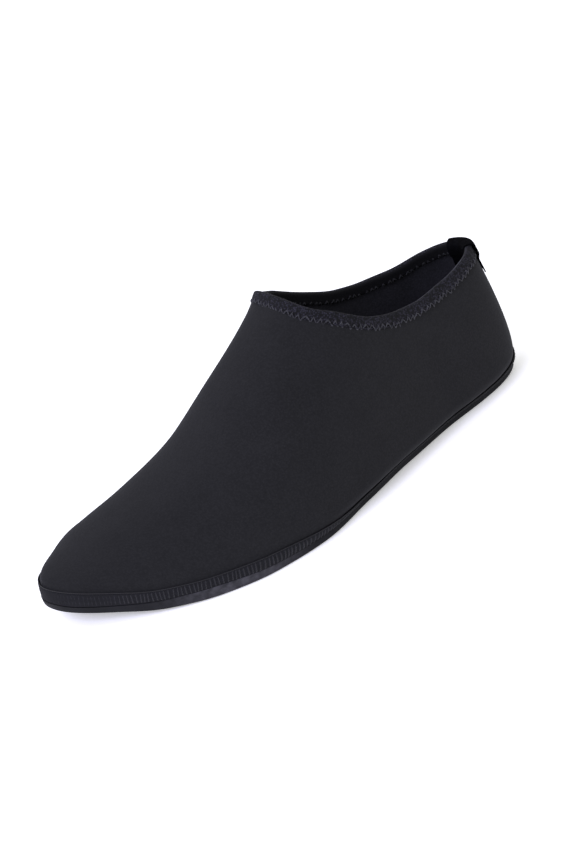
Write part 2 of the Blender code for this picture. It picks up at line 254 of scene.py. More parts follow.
def rim_length(turn, side):
    """Length up the skin at which the collar's line cuts it."""
    _, lengths, heights = section_lines(turn, side)
    rows = zip(collar_height(turn, side), heights, lengths)
    return np.array([np.interp(c, h, s) for c, h, s in rows])


def unit(vectors):
    return vectors / np.maximum(np.linalg.norm(vectors, axis=-1, keepdims=True), 1e-12)


def outward(turn, side, up):
    """Outward directions of the skin at points given as for on_skin."""
    small_turn, small_length = 0.002, 0.0002
    ahead = on_skin(np.minimum(turn + small_turn, 1), side, up)
    behind = on_skin(np.maximum(turn - small_turn, 0), side, up)
    above = on_skin(turn, side, up + small_length)
    below = on_skin(turn, side, up - small_length)
    return unit(np.cross(above - below, ahead - behind)) * side


def over_skin(turn, side, up, offset):
    """Points at a distance outward from the skin, given as for on_skin."""
    return on_skin(turn, side, up) + offset * outward(turn, side, up)


def around(turn, find):
    """A closed loop: the outer side from heel to toe, then the inner side back to the heel."""
    return np.concatenate([find(turn, 1), find(turn, -1)[1:-1][::-1]])


def ease(t):
    """A smooth rise from nought to one."""
    return t * t * (3 - 2 * t)


def closed(loop):
    return np.concatenate([loop, loop[:1]])


def smooth_loop(values, reach):
    """Running mean round a closed loop."""
    weight = np.hanning(2 * reach + 1)
    weight /= weight.sum()
    padded = np.concatenate([values[-reach:], values, values[:reach]])
    return np.stack([np.convolve(padded[:, k], weight, "valid") for k in range(values.shape[1])], 1)


# Making meshes

SAME_POINT = 1e-6
NO_LENGTH = 1e-7
THREAD_TIP = 0.45


def make_piece(name, label, replaced=()):
    """An empty mesh object in the scene that rides on the shoe."""
    mesh = bpy.data.meshes.new(name)
    item = bpy.data.objects.new(name, mesh)
    bpy.context.scene.collection.objects.link(item)
    mesh.materials.append(bpy.data.materials[label])
    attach(item, "root")
    if replaced:
        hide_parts(*replaced)
    return item


def run_along(points):
    """Length along a line at each of its points."""
    return np.concatenate([[0], np.cumsum(np.linalg.norm(np.diff(points, axis=0), axis=-1))])


def pattern_over(along, across):
    """Pattern coordinates of a grid from its lengths along and across."""
    return np.stack(np.broadcast_arrays(along[:, None], across), -1)


def write_mesh(item, points, faces, corners, merged=False, solid=True):
    """Write points, faces and the points' pattern coordinates into a piece, smoothly shaded."""
    mesh = item.data
    mesh.from_pydata((np.concatenate(points) - MIDDLE).tolist(), [], faces)
    layer = mesh.uv_layers.new(name="pattern")
    at = np.empty(len(mesh.loops), int)
    mesh.loops.foreach_get("vertex_index", at)
    layer.data.foreach_set("uv", np.concatenate(corners)[at].reshape(-1))
    work = bmesh.new()
    work.from_mesh(mesh)
    if merged:
        bmesh.ops.remove_doubles(work, verts=work.verts, dist=SAME_POINT)
        bmesh.ops.dissolve_degenerate(work, edges=work.edges, dist=NO_LENGTH)
    else:
        loose = [vertex for vertex in work.verts if not vertex.link_faces]
        bmesh.ops.delete(work, geom=loose, context="VERTS")
    if solid:
        bmesh.ops.recalc_face_normals(work, faces=work.faces)
    for face in work.faces:
        face.smooth = True
    work.to_mesh(mesh)
    work.free()


def fill_mesh(item, sheets, extra=(), solid=True):
    """Fill a mesh with grids of points, each with its pattern coordinates in metres."""
    points, faces, corners, start = [], [], [], 0
    for grid, pattern in sheets:
        index = start + np.arange(grid.shape[0] * grid.shape[1]).reshape(grid.shape[:2])
        quads = np.stack([index[:-1, :-1], index[1:, :-1], index[1:, 1:], index[:-1, 1:]], -1)
        faces += quads.reshape(-1, 4).tolist()
        points.append(grid.reshape(-1, 3))
        corners.append(pattern.reshape(-1, 2))
        start += index.size
    for ring in extra:
        faces.append(list(range(start, start + len(ring))))
        points.append(ring)
        corners.append(np.zeros((len(ring), 2)))
        start += len(ring)
    write_mesh(item, points, faces, corners, merged=True, solid=solid)


def loop_sheet(loops, across):
    """A grid from closed loops, with pattern coordinates along them and across them."""
    grid = np.stack([closed(loop) for loop in loops], 1)
    return grid, pattern_over(run_along(grid[:, 0]), across)


def thread_mesh(item, paths, radius, sides=6, joined=False):
    """Threads: each path is its points and, for each point, the direction away from the cloth."""
    points, faces, corners, start = [], [], [], 0
    angle = np.linspace(0, math.tau, sides + 1)[:-1]
    for path, away in paths:
        if joined:
            along = unit(np.roll(path, -1, 0) - np.roll(path, 1, 0))
        else:
            along = unit(np.gradient(path, axis=0))
        across = unit(np.cross(along, away))
        away = np.cross(across, along)
        ring = np.cos(angle)[:, None] * across[:, None] + np.sin(angle)[:, None] * away[:, None]
        size = np.full(len(path), radius)
        if not joined:
            size[0] = size[-1] = radius * THREAD_TIP
        grid = path[:, None] + ring * size[:, None, None]
        if joined:
            grid = np.concatenate([grid, grid[:1]])
        index = start + np.arange(len(grid) * sides).reshape(-1, sides)
        start += index.size
        if joined:
            index[-1] = index[0]
        over = np.roll(index, -1, 1)
        quads = np.stack([index[:-1], index[1:], over[1:], over[:-1]], -1)
        faces += quads.reshape(-1, 4).tolist()
        if not joined:
            faces += [index[0].tolist(), index[-1][::-1].tolist()]
        points.append(grid.reshape(-1, 3))
        corners.append(pattern_over(run_along(grid[:, 0]), angle * radius).reshape(-1, 2))
    write_mesh(item, points, faces, corners)


# Materials

NOISE, WAVE, CELLS = "ShaderNodeTexNoise", "ShaderNodeTexWave", "ShaderNodeTexVoronoi"
RANGE, SPLIT = "ShaderNodeMapRange", "ShaderNodeSeparateXYZ"
MATH, TIMES = "ShaderNodeMath", {"operation": "MULTIPLY"}
MIX, OF_VALUES, OF_COLOURS = "ShaderNodeMix", {"data_type": "FLOAT"}, {"data_type": "RGBA"}
# Sockets of a mix by number, because several share a name
FACTOR, VALUE_A, VALUE_B, COLOUR_A, COLOUR_B, COLOUR_OUT = 0, 2, 3, 6, 7, 2


def add_node(tree, kind, settings=None, values=None, links=None):
    """Add a node with its settings, its input values and the outputs that feed it."""
    item = tree.nodes.new(kind)
    for name, value in (settings or {}).items():
        setattr(item, name, value)
    for name, value in (values or {}).items():
        item.inputs[name].default_value = value
    for name, output in (links or {}).items():
        tree.links.new(output, item.inputs[name])
    return item


def start_material(name):
    """A new material's nodes and shader, and its coordinates on the cloth and in the shoe."""
    material = bpy.data.materials.new(name)
    material.use_nodes = True
    tree = material.node_tree
    place = add_node(tree, "ShaderNodeTexCoord")
    return tree, tree.nodes["Principled BSDF"], place.outputs["UV"], place.outputs["Object"]


def two_colours(tree, low, high, start, end, pattern):
    """A blend from one colour to another as a pattern rises from a start to an end value."""
    share = add_node(tree, RANGE, None, {"From Min": start, "From Max": end}, {"Value": pattern})
    ends = {COLOUR_A: (*linear(low), 1), COLOUR_B: (*linear(high), 1)}
    return add_node(tree, MIX, OF_COLOURS, ends, {FACTOR: share.outputs[0]}).outputs[COLOUR_OUT]


def finish_material(tree, shader, colour, pattern, strength, relief, values):
    """Give a shader its colour, the relief of a pattern in metres, and its constant values."""
    tree.links.new(colour, shader.inputs["Base Color"])
    depth = {"Strength": strength, "Distance": relief}
    bump = add_node(tree, "ShaderNodeBump", None, depth, {"Height": pattern})
    tree.links.new(bump.outputs["Normal"], shader.inputs["Normal"])
    for name, value in values.items():
        shader.inputs[name].default_value = value


def bands(spacing):
    """Scale of a wave pattern whose bands are this far apart in metres."""
    return math.tau / spacing / 20


def knitted_cloth(name, dark, light, loop, fuzz, relief, sheen, tint, spread=0.25, fold=None):
    """Knitted cloth with loops at their real spacing in metres.

    To the eye the loops are a fine mottle, dark in their gaps and lighter on their crowns, and
    the fibre ends catch light at grazing angles, which the sheen gives. fuzz is the share of
    loose fibre in the mottle, and a small spread makes it strong. fold is where a tape's fold
    runs across it, the fold's half width, the colour of a highlight painted along the fold on the
    outer side of the shoe, and the colour of shade painted on the inner half.
    """
    tree, shader, cloth, shoe = start_material(name)
    knit = {"Scale": 1 / loop, "Randomness": 0.8}
    loops = add_node(tree, CELLS, {"feature": "F1"}, knit, {"Vector": cloth})
    domed = {"From Min": 0.1, "From Max": 0.7, "To Min": 1.0, "To Max": 0.0}
    crowns = add_node(tree, RANGE, None, domed, {"Value": loops.outputs["Distance"]})
    fine = {"Scale": 1 / (0.9 * MM), "Detail": 3.0, "Roughness": 0.7}
    fibres = add_node(tree, NOISE, None, fine, {"Vector": shoe}).outputs["Fac"]
    broad = {"Scale": 1 / (14 * MM), "Detail": 2.0}
    patches = add_node(tree, NOISE, None, broad, {"Vector": shoe}).outputs["Fac"]
    parts = {VALUE_A: crowns.outputs[0], VALUE_B: fibres}
    mottle = add_node(tree, MIX, OF_VALUES, {FACTOR: fuzz}, parts).outputs[0]
    parts = {VALUE_A: mottle, VALUE_B: patches}
    whole = add_node(tree, MIX, OF_VALUES, {FACTOR: 0.25}, parts).outputs[0]
    colour = two_colours(tree, dark, light, 0.5 - spread, 0.5 + spread, whole)
    if fold:
        middle, half, fold_highlight_colour, inner_shade_colour = fold
        across = add_node(tree, SPLIT, links={0: cloth}).outputs["Y"]
        shift = add_node(tree, MATH, {"operation": "SUBTRACT"}, {1: middle}, {0: across})
        apart = add_node(tree, MATH, {"operation": "ABSOLUTE"}, links={0: shift.outputs[0]})
        ridge = {"From Min": 0.4 * half, "From Max": half, "To Min": 1.0, "To Max": 0.0}
        wear_and_light = add_node(tree, RANGE, None, ridge, {"Value": apart.outputs[0]})
        # Random patches break up the highlight painted along the fold
        uneven = {"From Min": 0.3, "From Max": 0.6, "To Min": 0.2, "To Max": 1.0}
        patchy = add_node(tree, RANGE, None, uneven, {"Value": patches})
        # The highlight is painted on the fold only on the outer side of the collar, the side towards the
        # key light and the camera; on the inner side the fold stays dark
        side = add_node(tree, SPLIT, links={0: shoe}).outputs["Y"]
        outer = add_node(tree, RANGE, None, {"From Min": -10 * MM, "From Max": 10 * MM}, {"Value": side})
        for other in (patchy, outer):
            wear_and_light = add_node(tree, MATH, TIMES, None, {0: wear_and_light.outputs[0], 1: other.outputs[0]})
        # The fold is painted paler here, as a highlight
        over = {COLOUR_B: (*linear(fold_highlight_colour), 1)}
        pale = add_node(tree, MIX, OF_COLOURS, over, {FACTOR: wear_and_light.outputs[0], COLOUR_A: colour})
        # The inner half of the tape is painted darker, as shade inside the collar
        inner = {"From Min": middle + 0.5 * half, "From Max": middle + 1.2 * half, "To Max": 0.95}
        inner = add_node(tree, RANGE, None, inner, {"Value": across})
        under = {FACTOR: inner.outputs[0], COLOUR_A: pale.outputs[COLOUR_OUT]}
        inner_shade = add_node(tree, MIX, OF_COLOURS, {COLOUR_B: (*linear(inner_shade_colour), 1)}, under)
        colour = inner_shade.outputs[COLOUR_OUT]
    nap = {"Sheen Weight": sheen, "Sheen Roughness": 0.45, "Sheen Tint": (*linear(tint), 1)}
    dull = {"Roughness": 0.9, "Specular IOR Level": 0.2}
    finish_material(tree, shader, colour, mottle, 0.5, relief, {**dull, **nap})


def spun_thread(name, dark, light, wear_and_light=0.5):
    """Textured polyester thread: its twisted plies show as slanted light and dark turns.

    worn is the share of rubbed and shaded stretches in its colour.
    """
    tree, shader, cloth, shoe = start_material(name)
    slanted = {"wave_type": "BANDS", "bands_direction": "DIAGONAL"}
    twist = {"Scale": bands(0.5 * MM), "Distortion": 0.8, "Detail": 1.0}
    plies = add_node(tree, WAVE, slanted, twist, {"Vector": cloth}).outputs["Fac"]
    stretches = {"Scale": 1 / (1.6 * MM), "Detail": 2.0}
    wear = add_node(tree, NOISE, None, stretches, {"Vector": shoe}).outputs["Fac"]
    mixed = add_node(tree, MIX, OF_VALUES, {FACTOR: wear_and_light}, {VALUE_A: plies, VALUE_B: wear})
    colour = two_colours(tree, dark, light, 0.25, 0.72, mixed.outputs[0])
    soft = {"Roughness": 0.7, "Specular IOR Level": 0.3, "Sheen Weight": 0.06, "Sheen Roughness": 0.4}
    finish_material(tree, shader, colour, plies, 0.5, 0.1 * MM, soft)


def moulded_rubber(name, dark, light, scuffed):
    """Compression-moulded rubber: a dull even skin with a fine spark-eroded grain.

    scuffed is the colour of the part that rubs on the ground most, and where along the shoe that
    part fades in and out. Rubbing leaves uneven pale spots a few millimetres wide.
    """
    tree, shader, _, shoe = start_material(name)
    eroded = {"Scale": 1 / (0.45 * MM), "Detail": 3.0, "Roughness": 0.6}
    grain = add_node(tree, NOISE, None, eroded, {"Vector": shoe}).outputs["Fac"]
    dusty = {"Scale": 1 / (9 * MM), "Detail": 3.0}
    bloom = add_node(tree, NOISE, None, dusty, {"Vector": shoe}).outputs["Fac"]
    colour = two_colours(tree, dark, light, 0.35, 0.70, bloom)
    spotted = {"Scale": 1 / (3.2 * MM), "Detail": 4.0, "Roughness": 0.7}
    spots = add_node(tree, NOISE, None, spotted, {"Vector": shoe}).outputs["Fac"]
    strong = {"From Min": 0.35, "From Max": 0.65, "To Min": 0.25, "To Max": 1.0}
    patchy = add_node(tree, RANGE, None, strong, {"Value": spots})
    along = add_node(tree, SPLIT, links={0: shoe}).outputs["X"]
    pale, start, full, last_full, end = scuffed
    for low, high in ((start, full), (end, last_full)):
        smooth = {"interpolation_type": "SMOOTHSTEP"}
        fade = add_node(tree, RANGE, smooth, {"From Min": low, "From Max": high}, {"Value": along})
        patchy = add_node(tree, MATH, TIMES, None, {0: patchy.outputs[0], 1: fade.outputs[0]})
    over = {COLOUR_B: (*linear(pale), 1)}
    colour = add_node(tree, MIX, OF_COLOURS, over, {FACTOR: patchy.outputs[0], COLOUR_A: colour})
    gloss = add_node(tree, RANGE, None, {"To Min": 0.54, "To Max": 0.74}, {"Value": grain})
    tree.links.new(gloss.outputs[0], shader.inputs["Roughness"])
    dull = {"Specular IOR Level": 0.15}
    finish_material(tree, shader, colour.outputs[COLOUR_OUT], grain, 0.35, 0.12 * MM, dull)


def woven_tape(name, dark, light):
    """Filament polyester tape, woven and washed: fine crosswise ribs and a flat, dull face."""
    tree, shader, cloth, shoe = start_material(name)
    crosswise = {"wave_type": "BANDS", "bands_direction": "Y"}
    ribbed = {"Scale": bands(0.6 * MM), "Distortion": 0.3}
    ribs = add_node(tree, WAVE, crosswise, ribbed, {"Vector": cloth}).outputs["Fac"]
    dusty = {"Scale": 1 / (2.5 * MM), "Detail": 3.0}
    dust = add_node(tree, NOISE, None, dusty, {"Vector": shoe}).outputs["Fac"]
    colour = two_colours(tree, dark, light, 0.35, 0.75, dust)
    dull = {"Roughness": 0.9, "Specular IOR Level": 0.02}
    finish_material(tree, shader, colour, ribs, 0.4, 0.08 * MM, dull)


def opal_acrylic(name, colour, glow):
    """Cast opal acrylic sheet, satin and lit from below: nearly white, with soft thin shadows."""
    tree, shader, _, shoe = start_material(name)
    cloud = add_node(tree, NOISE, None, {"Scale": 1 / (60 * MM), "Detail": 2.0}, {"Vector": shoe})
    tone = two_colours(tree, colour, "#FFFFFF", 0.2, 1.0, cloud.outputs["Fac"])
    for socket in ("Base Color", "Emission Color"):
        tree.links.new(tone, shader.inputs[socket])
    satin = {"Emission Strength": glow, "Roughness": 0.9, "Specular IOR Level": 0.1}
    for socket, value in satin.items():
        shader.inputs[socket].default_value = value


def make_materials():
    look = bpy.context.scene.water_shoe_look
    # Nylon jersey laminated on neoprene foam, warp-knitted. Real loops are about 0.5 mm, drawn
    # at 0.9 mm so that they show in the render.
    jersey = (look.jersey_dark, look.jersey_light, 0.9 * MM, 0.6, 0.10 * MM, 0.07, "#7C7C90")
    knitted_cloth("nylon_jersey_face", *jersey)
    # The same jersey on the inside, rubbed flat by the foot. Its colours are painted lighter than the
    # face's, as light that lifts the shade inside the shoe.
    lining = ("#18181B", "#2A2A2F", 0.9 * MM, 0.6, 0.08 * MM, 0.02, "#606070")
    knitted_cloth("nylon_jersey_lining", *lining)
    # Polyester binding tape, knitted from two shades of yarn and folded. A highlight is painted along its
    # fold on the outer side, and shade on its inner half.
    tape = (look.tape_dark, look.tape_light, 0.8 * MM, 0.35, 0.22 * MM, 0.01, "#9090B4", 0.15)
    fold = (0.45 * MM, 0.65 * MM, look.tape_fold_highlight, look.tape_inner_shade)
    knitted_cloth("knitted_binding_tape", *tape, fold)
    spun_thread("coverstitch_thread", look.thread_dark, look.thread_light, 0.85)
    # The looper thread on the inside is painted darker than the outer thread, as shade inside the collar
    spun_thread("coverstitch_thread_inside", "#0E0E11", "#202024")
    spun_thread("flatlock_thread", look.seam_dark, look.seam_light)
    # The edge is scuffed paler at the ball of the foot: where it starts, is full, is full, ends
    scuffed = (look.rubber_scuffed, 20 * MM, 50 * MM, 66 * MM, 100 * MM)
    moulded_rubber("moulded_rubber", look.rubber_dark, look.rubber_light, scuffed)
    spun_thread("gimp_cord", "#121214", "#1A1A1D")
    # Plain filament fabric under the seam's threads, in their shade
    knitted_cloth("seam_ground_cloth", "#0F0F12", "#17171C", 0.8 * MM, 0.5, 0.10 * MM, 0.03, "#606070")
    # Foam sheet with a brushed knit face
    knitted_cloth("brushed_sock_liner", "#0B0B0E", "#17171B", 1.0 * MM, 0.6, 0.10 * MM, 0.03, "#606070")
    woven_tape("woven_polyester_tape", "#060607", "#0C0C0F")
    opal_acrylic("opal_acrylic_sheet", "#F6F6F6", 0.35)


# Sizes and colours that can be changed


class UpperSizes(bpy.types.PropertyGroup):
    """Sizes of the jersey skin"""

    stations: IntProperty(name="Stations", description="Sections from heel to toe", default=190, min=40)
    rows: IntProperty(name="Rows", description="Rows from the lower edge to the top", default=84, min=20)
    crease: FloatProperty(
        name="Crease depth", description="Depth of the softest folds", default=0.0006, unit="LENGTH"
    )
    pucker: FloatProperty(
        name="Pucker depth", description="Ripple by the stitches", default=0.00016, unit="LENGTH"
    )


class BindingSizes(bpy.types.PropertyGroup):
    """Sizes of the folded tape and its stitches"""

    wave: FloatProperty(
        name="Waviness", description="How unevenly the tape's edge runs", default=0.00018, unit="LENGTH"
    )
    pitch: FloatProperty(
        name="Stitch pitch", description="Length of one zigzag", default=0.0030, unit="LENGTH"
    )
    thread: FloatProperty(
        name="Thread radius", description="Half the thickness of the thread", default=0.00021, unit="LENGTH"
    )
    thick: FloatProperty(
        name="Pressed thickness", description="Thickness of the outer leg", default=0.0006, unit="LENGTH"
    )


class SeamSizes(bpy.types.PropertyGroup):
    """Sizes of the flatlock seam between upper and sole"""

    pitch: FloatProperty(
        name="Thread pitch", description="Distance between threads", default=0.00185, unit="LENGTH"
    )
    thread: FloatProperty(
        name="Thread radius", description="Half the thickness of the thread", default=0.00037, unit="LENGTH"
    )
    slant: FloatProperty(
        name="Slant", description="Lean of each thread towards the heel", default=0.0009, unit="LENGTH"
    )


class SoleSizes(bpy.types.PropertyGroup):
    """Sizes of the rubber sole's tread"""

    groove_pitch: FloatProperty(
        name="Groove pitch", description="Distance between tread grooves", default=0.0050, unit="LENGTH"
    )
    groove_depth: FloatProperty(
        name="Groove depth", description="Depth of the tread grooves", default=0.0006, unit="LENGTH"
    )


class ShoeLook(bpy.types.PropertyGroup):
    """Colours of the shoe, as hex values"""

    jersey_dark: StringProperty(name="Jersey gaps", description="Between the loops", default="#101012")
    jersey_light: StringProperty(name="Jersey loops", description="Colour of the loops", default="#1C1C1E")
    tape_dark: StringProperty(name="Tape gaps", description="Darker yarn of the tape", default="#08080B")
    tape_light: StringProperty(name="Tape loops", description="Lighter yarn of the tape", default="#272630")
    # The fold colour is a painted highlight
    tape_fold_highlight: StringProperty(name="Tape fold", description="Painted highlight on the fold", default="#505057")
    # The inside colour is painted shade inside the collar
    tape_inner_shade: StringProperty(name="Tape inside", description="Painted shade on the inner half", default="#050507")
    thread_dark: StringProperty(name="Thread shade", description="Colour between plies", default="#0E0E12")
    thread_light: StringProperty(name="Thread", description="Colour of the stitches", default="#3B3B41")
    seam_dark: StringProperty(name="Seam shade", description="Darker seam thread", default="#101013")
    seam_light: StringProperty(name="Seam thread", description="Lighter seam thread", default="#1F1F25")
    rubber_dark: StringProperty(name="Rubber", description="Colour of the sole", default="#0F0F12")
    rubber_light: StringProperty(name="Rubber bloom", description="Dusty sole colour", default="#16161A")
    rubber_scuffed: StringProperty(name="Rubber scuffed", description="Edge at the ball", default="#3E3D42")


# Pieces


class WATERSHOE_OT_upper(bpy.types.Operator):
    """Hollow upper of jersey-faced neoprene, with its lining"""

    bl_idname = "watershoe.upper"
    bl_label = "Upper"

    def execute(self, context):
        sizes = context.scene.water_shoe_upper
        item = make_piece("upper_skin", "nylon_jersey_face", ["upper"])
        item.data.materials.append(bpy.data.materials["nylon_jersey_lining"])
        heel_count = sizes.stations // 2
        heel = THROAT_SHARE * share_of(np.linspace(0, 1, heel_count))
        toe = share_of(np.linspace(0, 1, sizes.stations - heel_count + 1))
        toe = THROAT_SHARE + (1 - THROAT_SHARE) * toe
        turn = turn_of(np.concatenate([heel, toe[1:]]))
        share = share_of(turn)
        fine = np.linspace(0, 1, sizes.rows)
        fine = fine + 0.35 * (fine * (1 - fine) * (2 * fine - 1))
        sheets = []
        for side in (1, -1):
            top = rim_length(turn, side)
            up = top[:, None] * fine[None]
            grid = on_skin(turn, side, up)
            away = outward(turn, side, np.clip(up, EDGE_STEP, None))
            sink = soft_folds(share[:, None], up, top[:, None], side, sizes)
            grid = grid + away * sink[..., None]
            run = run_along(grid[:, sizes.rows // 3])
            sheets.append((grid, pattern_over(run, side * up)))
        # In front of the throat the two sides share their top line
        (outer, outer_pattern), (inner, inner_pattern) = sheets
        front = slice(heel_count - 1, None)
        outer[front, -1] = inner[front, -1] = (outer[front, -1] + inner[front, -1]) / 2
        sheets = [(outer, outer_pattern), (inner[:, ::-1], inner_pattern[:, ::-1])]
        fill_mesh(item, sheets, solid=False)
        mesh = item.data
        middle = sum((v.co for v in mesh.vertices), Vector()) / len(mesh.vertices)
        if sum((f.center - middle).dot(f.normal) * f.area for f in mesh.polygons) < 0:
            mesh.flip_normals()
        wall = item.modifiers.new("wall", "SOLIDIFY")
        wall.thickness = WALL
        wall.offset = -1
        wall.use_rim = True
        wall.material_offset = 1
        return {"FINISHED"}


# Sizes by the rim: how far the skin's directions are read inside it, the points round it, the
# tape's distance from the skin before it is pressed in, and the power that rounds its fold
EDGE_STEP = 0.0003
RIM_STATIONS, RIM_POINTS = 420, 900
OVER_SKIN = 0.4 * GAP
ROUND = 0.8


def pressed(depth):
    """How far the binding and its stitches press into the foam, by depth under the rim."""
    return PRESS * ease(np.clip((BINDING_DROP + PRESS_REACH - depth) / PRESS_REACH, 0, 1))


def soft_folds(share, up, top, side, sizes):
    """Height of the soft folds over the smooth skin: the puckers by the seams and wide creases."""
    run = share * LENGTH
    below = top - up
    band_reach, rim_reach = 0.0016, 0.0022
    near_band = np.exp(-(((up - BAND_WIDTH - band_reach) / band_reach) ** 2))
    near_band = near_band * np.clip((share - 0.35) / 0.25, 0.1, 1)
    near_rim = np.exp(-(((below - BINDING_DROP - rim_reach) / rim_reach) ** 2))
    near_rim = near_rim * (share < THROAT_SHARE)
    ripple = np.sin(run / 0.0041 + 1.3 * np.sin(run / 0.013)) + 0.6 * np.sin(run / 0.0023 + side)
    height = -0.00022 * near_band - 0.0001 * near_rim + sizes.pucker * near_rim * ripple * 0.5
    height += sizes.pucker * 0.6 * near_band * np.sin(run / 0.0032 + side)
    height -= pressed(below) * np.clip((THROAT_SHARE + 0.020 - share) / 0.012, 0, 1)
    for at, lean, middle, half, wide, deep in FOLDS[side]:
        place = (run - at - lean * (up - middle)) / wide
        reach = np.exp(-(((up - middle) / half) ** 2))
        height += deep * sizes.crease * np.exp(-(place**2)) * reach
    fade = np.clip((up - BAND_WIDTH - 0.001) / 0.004, 0, 1)
    return height * np.clip((up - 0.8 * BAND_WIDTH) / (0.3 * BAND_WIDTH), 0, 1) * (0.4 + 0.6 * fade)


# Soft creases on each side: place along the foot, lean, height up the skin, reach, width, depth
FOLDS = {
    1: (
        (0.128, -0.55, 0.060, 0.030, 0.0050, -0.8),
        (0.140, -0.60, 0.055, 0.030, 0.0060, 0.6),
        (0.058, 0.35, 0.026, 0.016, 0.0060, -0.7),
        (0.047, 0.30, 0.026, 0.016, 0.0050, 0.5),
        (0.176, -0.50, 0.042, 0.018, 0.0055, -0.5),
    ),
    -1: (
        (0.122, -0.50, 0.055, 0.028, 0.0050, -0.8),
        (0.136, -0.55, 0.050, 0.028, 0.0060, 0.5),
        (0.062, 0.35, 0.028, 0.016, 0.0060, -0.7),
        (0.170, -0.45, 0.040, 0.018, 0.0055, -0.5),
    ),
}


def even_loops(loops, count):
    """The same closed loops with evenly spaced points by the run of the first, and that run."""
    run = run_along(closed(loops[0]))
    even = np.linspace(0, run[-1], count + 1)[:-1]
    return [read_line(closed(loop), run, even) for loop in loops], run[-1]


def rim_frames():
    """Dense loop round the collar edge: its points, outward, upward and along directions."""
    turn = turn_of(THROAT_SHARE * share_of(np.linspace(0, 1, RIM_STATIONS)))
    rim = around(turn, lambda turns, side: on_skin(turns, side, rim_length(turns, side)))
    out = around(turn, lambda turns, side: outward(turns, side, rim_length(turns, side) - EDGE_STEP))
    (rim, out), total = even_loops([rim, out], RIM_POINTS)
    out = smooth_loop(out, 8)
    along = unit(np.roll(rim, -2, 0) - np.roll(rim, 2, 0))
    out = unit(out - along * np.sum(out * along, 1, keepdims=True))
    up = np.cross(along, out)
    return rim, out, up, total


def by_run(loop, at, total):
    """Points of an evenly spaced closed loop at lengths along it."""
    return read_line(closed(loop), np.linspace(0, total, len(loop) + 1), at % total)


class WATERSHOE_OT_collar_binding(bpy.types.Operator):
    """Knitted tape folded over the collar edge"""

    bl_idname = "watershoe.collar_binding"
    bl_label = "Collar binding"

    def execute(self, context):
        sizes = context.scene.water_shoe_binding
        item = make_piece("binding_tape", "knitted_binding_tape", ["collar_binding"])
        rim, out, up, total = rim_frames()
        run = np.linspace(0, total, len(rim), endpoint=False)
        wander = np.sin(run / 0.009) + 0.7 * np.sin(run / 0.0037 + 2) + 0.5 * np.sin(run / 0.023)
        wander = sizes.wave * wander
        tuft = sizes.wave * 0.35 * np.sin(run * math.tau / sizes.pitch)
        near = OVER_SKIN - PRESS
        far = near + sizes.thick
        crest = 2 * GAP + BINDING_THICK
        back_near = -WALL - 1.5 * GAP
        back_far = back_near - BINDING_THICK
        middle = (far + back_far) / 2
        half = (far - back_far) / 2
        lines = [(near + 0.00005, -BINDING_DROP + 0.0002), (near + 0.00008, -BINDING_DROP)]
        lines += [(0.6 * far + 0.4 * near, -BINDING_DROP - 0.0001), (far, -BINDING_DROP + 0.0003)]
        # The outer leg is drawn in by the stitch row and stands a little proud above it
        for drop, swell in ((3.7, -0.16), (3.3, -0.10), (2.7, 0.04), (2.0, 0.10), (1.3, 0.08), (0.7, 0.04)):
            lines.append((far + swell * MM, -drop * MM))
        fold = len(lines) + 6
        for angle in np.linspace(0, math.pi, 13):
            lines.append((middle + half * math.cos(angle), crest * math.sin(angle) ** ROUND))
        for drop in (1.0, 2.0, 3.0, 3.7):
            lines.append((back_far, -drop * MM))
        lines += [(back_far + 0.0002, -0.95 * BINDING_DROP), (back_near - 0.0003, -0.95 * BINDING_DROP)]
        lines += [(back_near, -0.5 * BINDING_DROP), (back_near, 0.0), (-WALL, GAP), (0.0, GAP)]
        lines += [(near, 0.0), (near, -0.5 * BINDING_DROP)]
        loops = []
        for across, rise in lines:
            outer = 1.0 if across > -WALL / 2 else 0.6
            push = tuft * outer if across > 0.5 * far else 0
            shift = wander * np.clip(-rise / BINDING_DROP, 0, 1) * outer
            loop = rim + out * np.reshape(across + push, (-1, 1))
            loops.append(loop + up * np.reshape(rise + shift, (-1, 1)))
        loops.append(loops[0])
        across = run_along(np.array(lines + lines[:1]))
        fill_mesh(item, [loop_sheet(loops, across - across[fold])])
        return {"FINISHED"}


